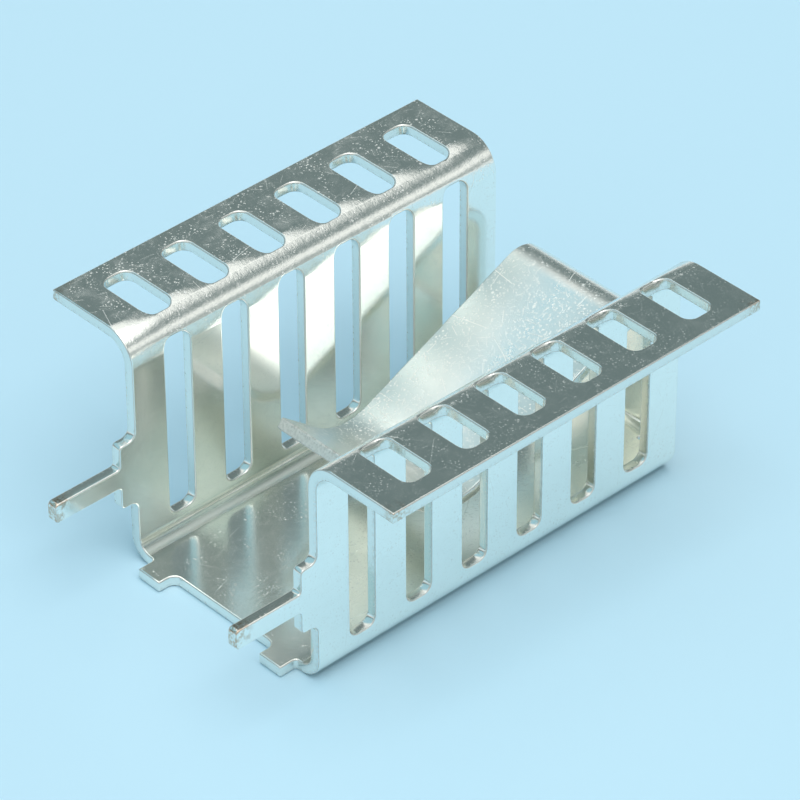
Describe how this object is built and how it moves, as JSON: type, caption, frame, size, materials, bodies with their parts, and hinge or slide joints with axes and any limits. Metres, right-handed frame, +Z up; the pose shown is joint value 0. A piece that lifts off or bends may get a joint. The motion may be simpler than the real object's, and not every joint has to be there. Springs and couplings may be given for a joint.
{
  "type": "transistor heat sink",
  "caption": "Folded tin-plated channel heat sink with slotted side flanges, a sprung clip over its floor for a tab transistor, and flat solder pins with stand-offs.",
  "frame": {"origin": "on the underside of the base, halfway along the walls and midway between them", "axes": "+X along the channel away from the solder pins, +Y across it, +Z up from the base to the flanges"},
  "size_m": [0.0299, 0.0234, 0.013],
  "materials": {
    "tin_plate": "bright tin"
  },
  "bodies": {
    "root": {"heat_sink": "tin_plate"}
  },
  "joints": []
}
